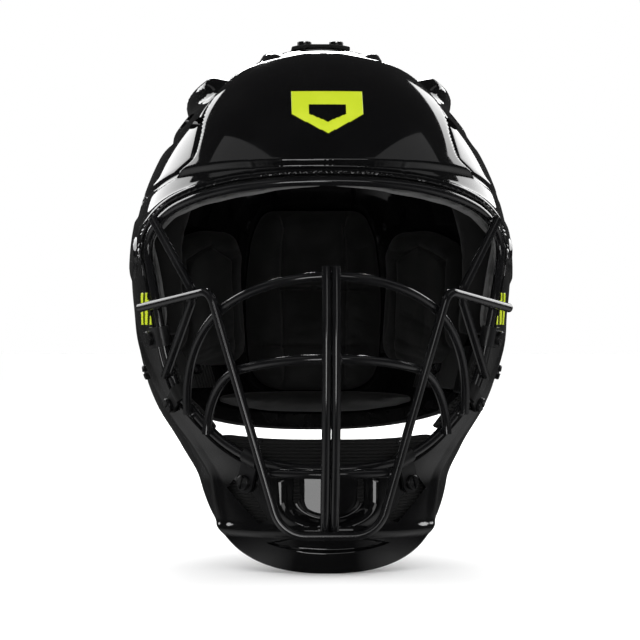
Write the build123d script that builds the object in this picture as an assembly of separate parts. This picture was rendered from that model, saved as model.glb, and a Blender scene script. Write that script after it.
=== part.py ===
from build123d import *
from math import copysign, cos, pi, radians, sin, tan
import os

os.makedirs("parts", exist_ok=True)

# Catcher's helmet: front shell, wire cage, hinged rear shell, pads and straps.
# Millimetres, +Z up, the face looks along -Y. The origin is the middle of the head, between the ears.

# ---- overall sizes ----
half_width = 110.5         # outside of the front shell, at its widest
front_depth = 131.0        # origin to the front of the dome
rear_depth = 124.0         # origin to the back of the dome
crown_height = 130.0       # crown above the widest level
widest_level = 14.0        # height of the widest section
chin_level = -154.0        # lowest point of the chin

# ---- shells ----
shell_wall = 3.5
rear_wall = 3.0
tuck_gap = 2.0             # rear shell inside the front shell
seam_y = 22.0              # rear edge of the front shell
tuck_length = 16.0         # how far the rear shell reaches under the front shell
rim_level = -85.0          # lower rim of the rear shell, at the back
rim_rise = 30.0            # how much higher the rim is at its front end
throat_slope = 36.0        # degrees, underside of the jaw
section_power = 2.35       # squareness of the horizontal sections
dome_power = 1.9           # squareness of the dome, seen from the front

# Jaw sections below the widest level: height, then width, front and rear as shares of the sizes above.
jaw_rows = [
    (-158, 0.70, 0.87, 0.52),
    (-141, 0.695, 0.91, 0.55),
    (-125, 0.675, 0.924, 0.61),
    (-106, 0.675, 0.927, 0.69),
    (-88, 0.74, 0.916, 0.79),
    (-65, 0.864, 0.90, 0.87),
    (-48, 0.923, 0.90, 0.91),
    (-20, 0.975, 0.954, 0.96),
]
dome_rows = [0, 0.2, 0.4, 0.57, 0.72, 0.84, 0.92, 0.97, 0.993]

# ---- cage ----
wire_radius = 2.5
weld_sink = 0.4            # how far two welded wires melt into each other
wire_proud = 0.8           # perimeter wire stands proud of the shell
clip_band = 1.6            # thickness of a clip's loop and tab
clip_width = 11.0
clip_clearance = 0.1
opening_clearance = 0.5    # shell's edge to a clip's loop
hole_clearance = 0.1
through = 40.0             # length of a screw hole's cutter
nut_room = 10.0            # depth of the room that a pad leaves round a nut
nut_room_margin = 1.0
head_round = 0.9
head_slot_width = 1.2
head_slot_depth = 0.8
shank_overrun = 0.5        # past the nut
nut_bore_clearance = 0.05
soft_gap = 0.3             # seat of pads and liners
pad_clearance = 1.1        # between a pad and a clip's loop
screw_radius = 2.0
head_radius = 4.2
head_height = 2.4
nut_radius = 5.0
nut_height = 2.0
nut_gap = 0.7              # a flat nut on the shell's hollow side
clip_lift = 0.45           # a flat tab on the shell's round side

# Perimeter wire, right half, seen from the front: share of half_width, height.
opening_outline = [
    (0.0, 60), (0.24, 59.3), (0.47, 56.5), (0.65, 52), (0.80, 45), (0.912, 30),
    (0.855, -6), (0.80, -38), (0.745, -56), (0.54, -81), (0.37, -92), (0.18, -95.5),
]
outer_corner = 5           # place in the outline where the wire turns down the side
main_bend = (0.585, 0.93, 0.5)        # bends of the main wire: shares of width and depth, height
main_corner = (0.235, 1.0, -131.6)
main_end_overrun = 9.0
bar_spacing = 5.2          # between the two centre bars
bar_top = 13.0
bar_reach = 1.155          # centre bars stand this share of front_depth ahead of the head
side_bar_top = 40.0
side_bar_bottom = -46.0
upper_arch_height = 8.0
upper_arch_end = -66.0
lower_arch_height = -36.0
lower_arch_end = -77.0
chin_bar_height = -98.0
bend_share = 0.45          # share of a run that a rounded corner takes up
main_end_drop = 7.0        # the main wire's ends, below its upper bends
main_bend_radius = 7.0
main_corner_radius = 18.0
bar_lean = 3.0             # top of the centre bars, back from their foremost point
bar_bow_rise = 5.0         # that point above the middle of the bars
upper_arch_drop = 19.0     # from an arch's middle to where it crosses the main wire
lower_arch_drop = 8.0
side_bend_along = 18.0     # bend of the side bar, along the main wire's end
side_bend_radius = 8.0

# ---- vents ----
ear_slots = [(20, -22, 22), (20, -10, 16), (20, 2, 10)]          # tilt, then y and z of each slot
ear_slot_length = 24.0
ear_slot_width = 5.0
crown_vents = [(0, -38, 26, 8, 0), (30, -34, 20, 7, -25)]        # x, y, length, width, turn
side_vents = [(-40, 97), (-12, 104)]                             # y and z on the dome's side
side_vent_length = 16.0
side_vent_width = 9.0
rear_vents = [(13, 92), (48, 84)]
rear_vent_length = 22.0
rear_vent_width = 9.0
chin_vent_outline = [(50, -101), (55, -108), (38, -126), (33, -124)]

# ---- pads ----
center_split = 0.8         # seam between the two brow pads
pad_split = 2.5            # gap between neighbouring pads
brow_overhang = 9.0        # how far the brow pad shows past the shell's edge
brow_reach = 16.0          # how far it reaches under the shell
brow_low = -22.0
brow_rear = -44.0
temple_front = -41.5
temple_rear = -4.0
temple_low = -24.0
temple_high = 62.0
jaw_front = -88.0
jaw_rear = -50.0
jaw_high = -36.0
chin_reach = 52.0
chin_rear = -60.0
chin_low = -126.0
chin_high = -80.0
jaw_low = chin_high + pad_split
crown_half = 26.0
crown_side = 66.0
crown_front = -52.0
crown_rear = 0.0
crown_low = 70.0
mesh_inner = 20.0
mesh_outer = 74.0
mesh_front = -96.0
rear_half = 40.0
rear_front = 30.0
rear_low = -58.0
lobe_front = 34.0
lobe_low = -28.0
lobe_high = 78.0
roll_half = 62.0
roll_front = 40.0
trim_height = 9.0
trim_lip = 1.6
trim_gap = 0.15            # the trim's channel is this much wider than the shell's edge on each side
trim_clear = 2.0
brow_thickness = 13.0
temple_thickness = 23.0
jaw_thickness = 15.0
chin_thickness = 15.0
crown_thickness = 12.0
rear_thickness = 17.0
roll_thickness = 21.0
mesh_thickness = 1.2

# ---- straps ----
strap_level = -45.0
strap_width = 24.0
strap_thickness = 1.6
strap_gap = 0.5            # a flat strap end on the shell's hollow side
strap_front_y = -35.0      # screw at the strap's front end
strap_rear_y = 72.0        # screw at the strap's rear end
strap_tab = 8.0            # half length of the flat at each end
slider_place = 0.45        # along the strap's straight run
slider_length = 12.0
slider_wall = 1.6
slider_round = 1.2
crown_strap_width = 34.0
crown_strap_thickness = 2.4
crown_strap_front = 36.0   # reach on the front shell, ahead of the seam
crown_strap_rear = 34.0    # reach on the rear shell, behind the seam
crown_screw_front = 0.72   # its screws, as shares of those reaches and of half its width
crown_screw_rear = 0.65
crown_screw_side = 0.55

wire_diameter = 2 * wire_radius
cross_step = wire_diameter - weld_sink
rear_outer = shell_wall + tuck_gap
rear_inner = rear_outer + rear_wall
front_pad_inset = shell_wall + soft_gap
rear_pad_inset = rear_inner + soft_gap
far = 400.0


# ---- the helmet's form ----
def row_at(z):
    """Half width, front depth and rear depth of the form at height z."""
    if z >= widest_level:
        share = min((z - widest_level) / crown_height, 0.999)
        round_side = (1 - share**2) ** 0.5
        wide = (1 - share**dome_power) ** (1 / dome_power)
        return half_width * wide, front_depth * round_side, rear_depth * round_side
    rows = jaw_rows + [(widest_level, 1, 1, 1)]
    above = next(i for i, row in enumerate(rows) if z <= row[0])
    low, high = rows[max(above - 1, 0)], rows[max(above, 1)]
    t = (z - low[0]) / (high[0] - low[0])
    shares = [a + (b - a) * t for a, b in zip(low[1:], high[1:])]
    return shares[0] * half_width, shares[1] * front_depth, shares[2] * rear_depth


def front_y(x, z, inset=0.0):
    """The form's front surface at x and z."""
    wide, front, _ = row_at(z)
    side = min(abs(x) / (wide - inset), 0.999)
    return -(front - inset) * (1 - side**section_power) ** (1 / section_power)


def side_x(y, z, inset=0.0):
    """The form's right surface at y and z."""
    wide, front, rear = row_at(z)
    depth = (front if y < 0 else rear) - inset
    return (wide - inset) * (1 - (abs(y) / depth) ** section_power) ** (1 / section_power)


def level(x, y, z):
    """1 on the form, more outside it."""
    wide, front, rear = row_at(z)
    depth = front if y < 0 else rear
    return ((abs(x) / wide) ** section_power + (abs(y) / depth) ** section_power) ** (1 / section_power)


def form_normal(p):
    """Outward unit normal of the form near p."""
    step = 0.5
    slope_x = level(p.X + step, p.Y, p.Z) - level(p.X - step, p.Y, p.Z)
    slope_y = level(p.X, p.Y + step, p.Z) - level(p.X, p.Y - step, p.Z)
    slope_z = level(p.X, p.Y, p.Z + step) - level(p.X, p.Y, p.Z - step)
    return Vector(slope_x, slope_y, slope_z).normalized()


def section(z, wide, front, rear):
    """One horizontal section of the form."""
    points = []
    count = 20
    for i in range(count):
        c, s = cos(2 * pi * i / count), sin(2 * pi * i / count)
        x = wide * copysign(abs(c) ** (2 / section_power), c)
        depth = rear if s > 0 else front
        points.append(Vector(x, depth * copysign(abs(s) ** (2 / section_power), s), z))
    return Wire([Edge.make_spline(points, periodic=True)])


def form(inset):
    """Closed solid of the helmet's outer form, moved in by inset."""
    wires = []
    for z, wide, front, rear in jaw_rows:
        sizes = [wide * half_width, front * front_depth, rear * rear_depth]
        wires.append(section(z, *[size - inset for size in sizes]))
    for share in dome_rows:
        round_side = (1 - share**2) ** 0.5
        wide = (half_width - inset) * (1 - share**dome_power) ** (1 / dome_power)
        z = widest_level + (crown_height - inset) * share
        front = (front_depth - inset) * round_side
        rear = (rear_depth - inset) * round_side
        wires.append(section(z, wide, front, rear))
    return Solid.make_loft(wires)


# ---- helpers ----
def block(x0, x1, y0, y1, z0, z1):
    size = Box(x1 - x0, y1 - y0, z1 - z0, align=(Align.MIN, Align.MIN, Align.MIN))
    return Pos(x0, y0, z0) * size


def layer(inset, thickness, region):
    """A pad: what lies inside region between two insets of the form."""
    return (form(inset) & region) - form(inset + thickness)


def mirrored(shape):
    return mirror(shape, about=Plane.YZ)


def save(name, shape):
    shape.label = name
    export_step(shape, f"parts/{name}.step")


def save_pair(name, right):
    """Write a piece of the right side (+X) and its mirror image."""
    save(f"{name}_right", right)
    save(f"{name}_left", mirrored(right))


def save_both(name, right):
    """Write a fastener of the right side and its mirror image in one file."""
    save(name, Compound([right, mirrored(right)]))


def surface_hit(guess, direction, solid):
    """Where a line through guess meets a form, and the outward normal there."""
    hits = solid.find_intersection_points(Axis(guess, direction))
    point, normal = min(hits, key=lambda hit: (hit[0] - guess).length)
    return point, normal if normal.dot(form_normal(point)) > 0 else -normal


def path_at(path, z):
    """The point of a wire's right half that is nearest to height z."""
    steps = 600
    points = [path @ (i / steps) for i in range(steps + 1)]
    return min((p for p in points if p.X > -0.01), key=lambda p: abs(p.Z - z))


# ---- wires ----
def round_path(points, close=False):
    """Straight runs joined by arcs as large as the runs allow."""
    points = [Vector(p) for p in points]
    count = len(points)
    radii = []
    for i in range(count) if close else range(1, count - 1):
        before, here, after = points[i - 1], points[i], points[(i + 1) % count]
        turn = max((here - before).get_angle(after - here), 1)
        run = min((here - before).length, (after - here).length)
        radii.append(bend_share * run / tan(radians(turn / 2)))
    return FilletPolyline(*points, radius=radii, close=close)


def wire_along(path, radius=wire_radius):
    start = Plane(origin=path @ 0, z_dir=path % 0)
    return sweep(start * Circle(radius), path=path, transition=Transition.ROUND)


def arch(centre, crossing, end):
    """A wire that bows from centre through a crossing to its end, the same on both sides."""
    near = TangentArc(centre, crossing, tangent=(1, 0, 0))
    away = TangentArc(crossing, end, tangent=near % 1)
    right = wire_along(near) + wire_along(away)
    return right + mirrored(right)


outer = form(0)
right_points = [(x * half_width, z) for x, z in opening_outline]
left_points = [(-x, z) for x, z in right_points[:0:-1]]
outline = right_points + [(0, right_points[-1][1] - 1)] + left_points
perimeter_path = round_path([Vector(x, front_y(x, z, -wire_proud), z) for x, z in outline], close=True)
perimeter = wire_along(perimeter_path)
perimeter_room = wire_along(perimeter_path, wire_radius + clip_clearance)
clip_room = wire_along(perimeter_path, wire_radius + clip_clearance + clip_band + pad_clearance)


def on_perimeter(z):
    """A point of the perimeter wire's lower right side, with the form's normal."""
    steps = 900
    corner_z = right_points[outer_corner][1]
    points = [perimeter_path @ (i / steps) for i in range(steps)]
    inner = right_points[-1][0] / 2
    low = [p for p in points if p.X > inner and (p.Z < corner_z or z > corner_z)]
    point = min(low, key=lambda p: abs(p.Z - z))
    return point, form_normal(point)


def welded_to_perimeter(z):
    """Centre of a wire that is welded on the outside of the perimeter wire at height z."""
    point, normal = on_perimeter(z)
    return point + normal * cross_step


main_right = Vector(main_bend[0] * half_width, -main_bend[1] * front_depth, main_bend[2])
main_low = Vector(main_corner[0] * half_width, -main_corner[1] * front_depth, main_corner[2])
main_cross = welded_to_perimeter(main_bend[2] - main_end_drop)
main_run = (main_cross - main_right).normalized()
main_end = main_cross + main_run * main_end_overrun
right_half = [main_end, main_right, main_low]
main_points = right_half + [Vector(-p.X, p.Y, p.Z) for p in right_half[::-1]]
main_radii = [main_bend_radius, main_corner_radius, main_corner_radius, main_bend_radius]
main_path = FilletPolyline(*main_points, radius=main_radii)
main_wire = wire_along(main_path)

bar_y = -front_depth * bar_reach
bar_foot = Vector(bar_spacing / 2, main_low.Y + cross_step, main_low.Z)
bar_head = Vector(bar_spacing / 2, bar_y + bar_lean, bar_top)
bar_bow = Vector(bar_spacing / 2, bar_y, (bar_top + bar_foot.Z) / 2 + bar_bow_rise)
bar_path = ThreePointArc(bar_head, bar_bow, bar_foot)
center_bar = wire_along(bar_path)


def behind(path, z):
    """Centre of a wire that is welded behind another at height z."""
    point = path_at(path, z)
    return point - form_normal(point) * cross_step


def behind_bars(z):
    return Vector(0, path_at(bar_path, z).Y + cross_step, z)


upper_arch = arch(behind_bars(upper_arch_height), behind(main_path, upper_arch_height - upper_arch_drop),
                  welded_to_perimeter(upper_arch_end))
lower_arch = arch(behind_bars(lower_arch_height), behind(main_path, lower_arch_height - lower_arch_drop),
                  welded_to_perimeter(lower_arch_end))
chin_side = behind(main_path, chin_bar_height)
chin_far = Vector(-chin_side.X, chin_side.Y, chin_side.Z)
chin_bar = wire_along(ThreePointArc(chin_side, behind_bars(chin_bar_height), chin_far))

side_top = welded_to_perimeter(side_bar_top)
side_foot = welded_to_perimeter(side_bar_bottom)
side_bend = main_right + main_run * side_bend_along - form_normal(main_right) * cross_step
side_bar = wire_along(FilletPolyline(side_top, side_bend, side_foot, radius=side_bend_radius))

save("cage_perimeter_wire", perimeter)
save("cage_main_wire", main_wire)
save_pair("cage_center_bar", center_bar)
save("cage_upper_arch", upper_arch)
save("cage_lower_arch", lower_arch)
save("cage_chin_bar", chin_bar)
save_pair("cage_side_bar", side_bar)

# ---- shells ----
opening_face = make_face(Plane.XZ * Polyline(*outline, close=True))
opening_offset = wire_radius + clip_band + opening_clearance
opening = extrude(offset(opening_face, opening_offset, kind=Kind.ARC), far, dir=(0, -1, 0))
front_region = block(-far, far, -far, seam_y, -far, far)
throat_normal = Vector(0, -sin(radians(throat_slope)), cos(radians(throat_slope)))
throat = Plane(origin=(0, -front_depth * 0.9, chin_level), x_dir=(1, 0, 0), z_dir=throat_normal)
above_throat = throat * Box(far * 2, far * 2, far, align=(Align.CENTER, Align.CENTER, Align.MIN))
front_shell = ((outer - form(shell_wall)) & front_region & above_throat) - opening

rim_normal = Vector(0, rim_rise, rear_depth - seam_y).normalized()
rim_plane = Plane(origin=(0, rear_depth * 0.85, rim_level), x_dir=(1, 0, 0), z_dir=rim_normal)
rim_half_space = Box(far * 2, far * 2, far, align=(Align.CENTER, Align.CENTER, Align.MIN))
above_rim = rim_plane * rim_half_space
rear_region = block(-far, far, seam_y - tuck_length, far, -far, far)
rear_solid = form(rear_outer)
rear_shell = (rear_solid - form(rear_inner)) & rear_region & above_rim

# ---- fasteners ----
shell_holes = []
fastener_room = []


def seat_plane(point, normal, along):
    """Frame on a seat: z out of the shell, x in the direction of along."""
    flat = along - normal * along.dot(normal)
    return Plane(origin=point, x_dir=flat.normalized(), z_dir=normal)


def fasten(seat, stack, wall, holes):
    """A coin-slot screw on a stack of that height above the seat, with its nut inside the wall."""
    hole = seat * Cylinder(screw_radius + hole_clearance, through)
    room = seat * Pos(0, 0, -wall - nut_room / 2) * Cylinder(nut_radius + nut_room_margin, nut_room)
    head_base = stack
    nut_top = -wall - nut_gap
    shank_foot = nut_top - nut_height - shank_overrun
    head = Pos(0, 0, head_base + head_height / 2) * Cylinder(head_radius, head_height)
    head = fillet(head.edges().group_by(Axis.Z)[-1], head_round)
    slot = Pos(0, 0, head_base + head_height) * Box(head_radius * 3, head_slot_width, head_slot_depth * 2)
    shank_length = head_base - shank_foot
    shank = Pos(0, 0, shank_foot + shank_length / 2) * Cylinder(screw_radius, shank_length)
    screw = seat * (head - slot + shank)
    ring = Cylinder(nut_radius, nut_height) - Cylinder(screw_radius + nut_bore_clearance, nut_height)
    nut = seat * Pos(0, 0, nut_top - nut_height / 2) * ring
    holes.append(hole)
    fastener_room.append(room)
    return screw, nut


def wire_clip(height, reach, width, end_radius):
    """A strap clip round the perimeter wire, and the seat of its screw."""
    wire_point, normal = on_perimeter(height)
    above, _ = on_perimeter(height + 3)
    tangent = (above - wire_point).normalized()
    out = normal.cross(tangent).normalized()
    if out.X < 0:
        out = -out
    seat_point, seat_normal = surface_hit(wire_point + out * reach, normal, outer)
    seat = seat_plane(seat_point, seat_normal, seat_point - wire_point)
    local = seat.to_local_coords(wire_point)
    across = seat * Pos(local.X, 0, local.Z) * Rot(90, 0, 0)
    band = Cylinder(wire_radius + clip_clearance + clip_band, width)
    tab_length = -local.X
    tab = Pos(-tab_length / 2, 0, clip_lift + clip_band / 2) * Box(tab_length, width, clip_band)
    end = Pos(0, 0, clip_lift + clip_band / 2) * Cylinder(end_radius, clip_band)
    clip = across * band + seat * tab + seat * end
    clip = clip - perimeter_room
    return clip - seat * Cylinder(screw_radius + hole_clearance, through), seat


clip_stack = clip_lift + clip_band
clips = {
    "chin_clip": wire_clip(-91, 14, clip_width, 6),
    "side_clip": wire_clip(-24, 12, clip_width, 6),
    "side_loop": wire_clip(-56, 14, 8.5, 5),
}
for name, (clip, seat) in clips.items():
    screw, nut = fasten(seat, clip_stack, shell_wall, shell_holes)
    save_pair(name, clip)
    save_both(f"{name}_screws", screw)
    save_both(f"{name}_nuts", nut)

# ---- elastic straps ----
strap_low = strap_level - strap_width / 2
strap_high = strap_level + strap_width / 2


def strap_point(y, inset, z=strap_low):
    """Middle of the strap against the inside of a shell."""
    gap = inset + strap_gap + strap_thickness / 2
    return Vector(side_x(y, z, gap), y)


strap_line = [
    strap_point(strap_front_y - strap_tab, shell_wall),
    strap_point(strap_front_y + strap_tab, shell_wall),
    strap_point(strap_rear_y - strap_tab, rear_inner),
    strap_point(strap_rear_y + strap_tab, rear_inner),
]
lean = strap_point(0, shell_wall, strap_high).X - strap_point(0, shell_wall).X
strap_up = Vector(lean, 0, strap_high - strap_low)
strap_flat = trace(Plane.XY.offset(strap_low) * Polyline(*strap_line), strap_thickness)
strap = extrude(strap_flat, strap_up.length, dir=strap_up)

rear_holes = []
for name, y, wall, depth, holes in [("strap_front", strap_front_y, shell_wall, 0, shell_holes),
                                    ("strap_rear", strap_rear_y, rear_wall, rear_outer, rear_holes)]:
    guess = Vector(side_x(y, strap_level, depth), y, strap_level)
    solid = outer if depth == 0 else rear_solid
    hit, normal = surface_hit(guess, form_normal(guess), solid)
    seat = seat_plane(hit, normal, Vector(0, 1, 0))
    inner_stack = wall + strap_thickness + 2 * strap_gap
    screw, nut = fasten(seat, soft_gap, inner_stack, holes)
    strap = strap - seat * Cylinder(screw_radius + hole_clearance, through) - fastener_room[-1]
    save_both(f"{name}_screws", screw)
    save_both(f"{name}_nuts", nut)
save_pair("elastic_strap", strap)

strap_run = (strap_line[2] - strap_line[1]).normalized()
slider_middle = strap_line[1] + (strap_line[2] - strap_line[1]) * slider_place
slider_center = Vector(slider_middle.X, slider_middle.Y, strap_low) + strap_up * 0.5
slider_plane = Plane(origin=slider_center, x_dir=strap_run, z_dir=strap_run.cross(strap_up))
slot_height = strap_up.length + 2 * soft_gap
slot_depth = strap_thickness + 2 * soft_gap
slider_block = Box(slider_length, slot_height + 2 * slider_wall, slot_depth + 2 * slider_wall)
slider_block = fillet(slider_block.edges().filter_by(Axis.X), slider_round)
save_pair("strap_slider", slider_plane * (slider_block - Box(slider_length * 2, slot_height, slot_depth)))

# ---- crown strap ----
strap_half = crown_strap_width / 2
strap_top = -soft_gap - crown_strap_thickness
step_start = seam_y + soft_gap
step_end = step_start + crown_strap_thickness
upper = block(-strap_half, strap_half, seam_y - crown_strap_front, step_start, widest_level, far)
middle = block(-strap_half, strap_half, step_start, step_end, widest_level, far)
lower = block(-strap_half, strap_half, step_end, seam_y + crown_strap_rear, widest_level, far)
strap_lid = form(strap_top)
rear_lid = form(rear_outer - soft_gap - crown_strap_thickness)
rear_floor = form(rear_outer - soft_gap)
crown_strap = ((strap_lid & upper) - form(-soft_gap)) + ((strap_lid & middle) - rear_floor)
crown_strap = crown_strap + ((rear_lid & lower) - rear_floor)
crown_stack = soft_gap + crown_strap_thickness
for name, y, wall, solid, holes in [
    ("crown_front", seam_y - crown_strap_front * crown_screw_front, shell_wall, outer, shell_holes),
    ("crown_rear", seam_y + crown_strap_rear * crown_screw_rear, rear_wall, rear_solid, rear_holes),
]:
    hit, normal = surface_hit(Vector(strap_half * crown_screw_side, y, crown_height), Vector(0, 0, 1), solid)
    seat = seat_plane(hit, normal, Vector(0, 1, 0))
    screw, nut = fasten(seat, crown_stack, wall, holes)
    hole = seat * Cylinder(screw_radius + hole_clearance, through)
    crown_strap = crown_strap - hole - mirrored(hole)
    save_both(f"{name}_screws", screw)
    save_both(f"{name}_nuts", nut)
save("crown_strap", crown_strap)

# ---- vents ----
ear_slot = extrude(SlotOverall(ear_slot_length, ear_slot_width), half_width / 2, both=True)
for tilt, y, z in ear_slots:
    shell_holes.append(Pos(half_width, y, z) * Rot(tilt, 0, 0) * Rot(0, 90, 0) * ear_slot)
top_vents = []
for x, y, length, width, turn in crown_vents:
    top_vents.append(Pos(x, y, 0) * Rot(0, 0, turn) * extrude(SlotOverall(length, width), far))
side_vent = extrude(SlotOverall(side_vent_length, side_vent_width), far)
for y, z in side_vents:
    top_vents.append(Pos(0, y, z) * Rot(0, 90, 0) * side_vent)
shell_holes.extend(top_vents)
rear_vent = extrude(SlotOverall(rear_vent_length, rear_vent_width, rotation=90), far)
for x, y in rear_vents:
    rear_holes.append(Pos(x, y, widest_level) * rear_vent)
chin_vent = extrude(make_face(Plane.XZ * Polyline(*chin_vent_outline, close=True)), far, dir=(0, -1, 0))
shell_holes.append(chin_vent)

for hole in shell_holes:
    front_shell = front_shell - hole - mirrored(hole)
for hole in rear_holes:
    rear_shell = rear_shell - hole - mirrored(hole)
save("front_shell", front_shell)
save("rear_shell", rear_shell)

# ---- rim trim of the rear shell ----
trim_band = rim_plane * Pos(0, 0, trim_height / 2 - trim_lip) * Box(far * 2, far * 2, trim_height)
trim_end = block(-far, far, seam_y + trim_clear, far, -far, far)
channel_zone = rim_plane * Pos(0, 0, -trim_gap) * rim_half_space
channel = (form(rear_outer - trim_gap) - form(rear_inner + trim_gap)) & channel_zone
rim_trim = ((form(rear_outer - trim_lip) & trim_band & trim_end) - form(rear_inner + trim_lip)) - channel
save("rear_rim_trim", rim_trim)

# ---- front pads ----
room = [*fastener_room, clip_room]


def carve(pad):
    for cut in room:
        pad = pad - cut
    return pad


def opening_grown(amount):
    """The face opening's prism, grown all round by amount."""
    return extrude(offset(opening_face, amount, kind=Kind.ARC), far, dir=(0, -1, 0))


opening_edge = opening_grown(opening_offset - brow_overhang)
opening_wide = opening_grown(opening_offset + brow_reach)
right_side = block(center_split / 2, far, -far, 0, -far, far)
brow_zone = (opening_wide - opening_edge) & right_side & block(-far, far, -far, brow_rear, brow_low, far)
brow_pad = carve(layer(front_pad_inset, brow_thickness, brow_zone))
save_pair("brow_pad", brow_pad)

temple_zone = block(0, far, temple_front, temple_rear, temple_low, temple_high)
save_pair("temple_pad", carve(layer(front_pad_inset, temple_thickness, temple_zone)))

jaw_zone = block(0, far, jaw_front, jaw_rear, jaw_low, jaw_high) - opening_edge
save_pair("jaw_pad", carve(layer(front_pad_inset, jaw_thickness, jaw_zone) & above_throat))

chin_zone = block(-chin_reach, chin_reach, -far, chin_rear, chin_low, chin_high)
chin_pad = layer(front_pad_inset, chin_thickness, chin_zone) & above_throat
for cut in fastener_room:
    chin_pad = chin_pad - cut - mirrored(cut)
save("chin_pad", chin_pad - clip_room)

crown_zone = block(-crown_half, crown_half, crown_front, crown_rear, 0, far)
crown_pad = layer(front_pad_inset, crown_thickness, crown_zone)
side_zone = block(crown_half + pad_split, crown_side, crown_front, crown_rear, crown_low, far)
crown_side_pad = layer(front_pad_inset, crown_thickness, side_zone)
for cut in fastener_room:
    crown_pad = crown_pad - cut - mirrored(cut)
    crown_side_pad = crown_side_pad - cut
save("crown_pad", crown_pad)
save_pair("crown_side_pad", crown_side_pad)
mesh_zone = block(mesh_inner, mesh_outer, mesh_front, crown_front - pad_split, crown_low, far)
save_pair("vent_mesh", layer(front_pad_inset, mesh_thickness, mesh_zone) - opening_wide)

# ---- rear pads ----
rear_zone = block(-rear_half, rear_half, rear_front, far, rear_low, far)
rear_pad = layer(rear_pad_inset, rear_thickness, rear_zone)
for cut in fastener_room:
    rear_pad = rear_pad - cut - mirrored(cut)
save("rear_center_pad", rear_pad)
lobe_zone = block(rear_half + pad_split, far, lobe_front, far, lobe_low, lobe_high)
save_pair("rear_side_pad", layer(rear_pad_inset, rear_thickness, lobe_zone))
above_trim = rim_plane * Pos(0, 0, trim_height - trim_lip + soft_gap) * rim_half_space
roll_zone = block(-roll_half, roll_half, roll_front, far, -far, rear_low - pad_split) & above_trim
save("rear_neck_roll", layer(rear_pad_inset, roll_thickness, roll_zone))
print("front shell", round(front_shell.volume), "rear shell", round(rear_shell.volume))
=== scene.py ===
import math
import bmesh
import bpy
import numpy as np
from mathutils import Matrix, Vector
from mathutils.bvhtree import BVHTree


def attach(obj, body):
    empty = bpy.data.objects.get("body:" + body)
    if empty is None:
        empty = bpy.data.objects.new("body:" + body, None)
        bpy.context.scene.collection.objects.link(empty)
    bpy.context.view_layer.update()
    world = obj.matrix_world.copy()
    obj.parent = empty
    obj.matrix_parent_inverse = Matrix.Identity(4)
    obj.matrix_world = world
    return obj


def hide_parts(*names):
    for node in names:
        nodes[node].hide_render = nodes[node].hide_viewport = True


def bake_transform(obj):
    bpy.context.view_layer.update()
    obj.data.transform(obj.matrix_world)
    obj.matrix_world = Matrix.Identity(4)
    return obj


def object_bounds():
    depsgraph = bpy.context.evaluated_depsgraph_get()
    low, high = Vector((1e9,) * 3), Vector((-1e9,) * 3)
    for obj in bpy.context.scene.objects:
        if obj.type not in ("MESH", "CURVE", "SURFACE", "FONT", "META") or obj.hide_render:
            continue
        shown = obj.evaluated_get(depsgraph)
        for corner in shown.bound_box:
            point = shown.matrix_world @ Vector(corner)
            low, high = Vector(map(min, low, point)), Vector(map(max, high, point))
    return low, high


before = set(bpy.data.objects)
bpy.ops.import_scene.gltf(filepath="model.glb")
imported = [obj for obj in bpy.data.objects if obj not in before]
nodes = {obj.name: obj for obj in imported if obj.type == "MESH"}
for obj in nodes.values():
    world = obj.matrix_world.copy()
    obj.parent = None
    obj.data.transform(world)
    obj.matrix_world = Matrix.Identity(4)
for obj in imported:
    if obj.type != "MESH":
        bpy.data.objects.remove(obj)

cadBox = [list(corner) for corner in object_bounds()]
mm = 0.001

# The helmet's form in millimetres, the same one that the shells in the frame have.
helmetForm = {
    "halfWidth": 110.5,
    "frontDepth": 131.0,
    "rearDepth": 124.0,
    "crownHeight": 130.0,
    "widestLevel": 14.0,
    "sectionPower": 2.35,
    "domePower": 1.9,
    "jawRows": [
        (-158, 0.70, 0.87, 0.52), (-141, 0.695, 0.91, 0.55), (-125, 0.675, 0.924, 0.61),
        (-106, 0.675, 0.927, 0.69), (-88, 0.74, 0.916, 0.79), (-65, 0.864, 0.90, 0.87),
        (-48, 0.923, 0.90, 0.91), (-20, 0.975, 0.954, 0.96), (14, 1.0, 1.0, 1.0),
    ],
}


def smoothTable():
    # jaw shares drawn as a smooth curve through the rows, read back by height
    rows = np.array(helmetForm["jawRows"], float)
    z, shares = rows[:, 0], rows[:, 1:]
    slopes = np.zeros_like(shares)
    steps = np.diff(shares, axis=0) / np.diff(z)[:, None]
    same = steps[1:] * steps[:-1] > 0
    slopes[1:-1] = np.where(same, 2 * steps[1:] * steps[:-1] / (steps[1:] + steps[:-1] + 1e-12), 0)
    slopes[0] = steps[0]
    heights = np.linspace(z[0], z[-1], 600)
    spot = np.clip(np.searchsorted(z, heights, side="right") - 1, 0, len(z) - 2)
    span = (z[spot + 1] - z[spot])[:, None]
    t = ((heights - z[spot]) / span[:, 0])[:, None]
    low, high = shares[spot], shares[spot + 1]
    curve = (2 * t**3 - 3 * t**2 + 1) * low + (t**3 - 2 * t**2 + t) * span * slopes[spot]
    curve += (-2 * t**3 + 3 * t**2) * high + (t**3 - t**2) * span * slopes[spot + 1]
    return heights, curve


jawHeights, jawCurve = smoothTable()


def sizesAt(z, inset=0.0):
    # half width, front depth and rear depth at each height
    f = helmetForm
    sizes = np.stack([np.interp(z, jawHeights, jawCurve[:, i]) for i in range(3)])
    sizes *= np.array([f["halfWidth"], f["frontDepth"], f["rearDepth"]])[:, None]
    sizes -= inset
    share = np.clip((z - f["widestLevel"]) / (f["crownHeight"] - inset), 0, 0.99999)
    wide = (f["halfWidth"] - inset) * (1 - share ** f["domePower"]) ** (1 / f["domePower"])
    roundSide = np.sqrt(1 - share**2)
    dome = np.stack([wide, (f["frontDepth"] - inset) * roundSide, (f["rearDepth"] - inset) * roundSide])
    return np.where(z >= f["widestLevel"], dome, sizes)


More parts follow.
